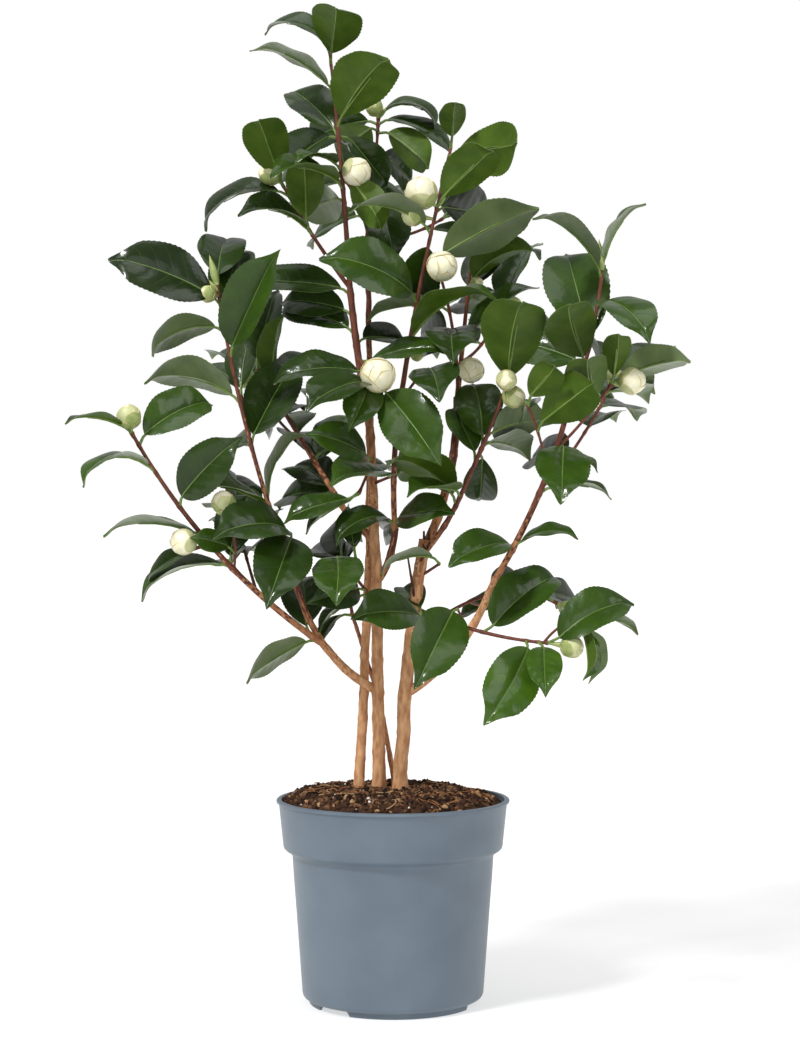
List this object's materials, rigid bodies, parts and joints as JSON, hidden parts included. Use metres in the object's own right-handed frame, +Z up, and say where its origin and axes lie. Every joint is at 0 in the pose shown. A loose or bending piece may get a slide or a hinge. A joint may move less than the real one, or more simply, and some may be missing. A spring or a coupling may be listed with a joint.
{
  "type": "potted camellia shrub",
  "caption": "Camellia shrub with slender woody stems, glossy leaves and plump pale buds, in a round nursery pot with a deep rim.",
  "frame": {"origin": "on the pot's axis at the ground, under the pad in the middle of the pot's underside", "axes": "+Z up; -Y is the side the plant is viewed from, +X is to the right there"},
  "size_m": [0.3938, 0.2509, 0.6428],
  "materials": {
    "pot": "matte",
    "peat": "matte",
    "bark": "matte",
    "foliage": "glossy"
  },
  "bodies": {
    "root": {"pot": "pot", "soil": "peat", "stem_left": "bark", "stem_middle": "bark", "stem_right": "bark", "stem_thin": "bark", "bough_low_left": "bark", "bough_left": "bark", "bough_mid_left": "bark", "bough_red": "bark", "bough_inner_right": "bark", "bough_front_right": "bark", "bough_right": "bark", "shoot_top": "foliage", "shoot_back": "foliage", "shoot_red": "foliage", "shoot_inner": "foliage", "shoot_front_right": "foliage", "shoot_right": "foliage", "shoot_mid_left": "foliage", "shoot_left": "foliage", "shoot_low_left": "foliage", "shoot_low_right": "foliage", "shoot_low_back": "foliage", "shoot_crotch": "foliage", "shoot_front_low": "foliage", "shoot_middle": "foliage", "shoot_side": "foliage", "shoot_low_middle": "foliage", "shoot_thin": "foliage"}
  },
  "joints": []
}
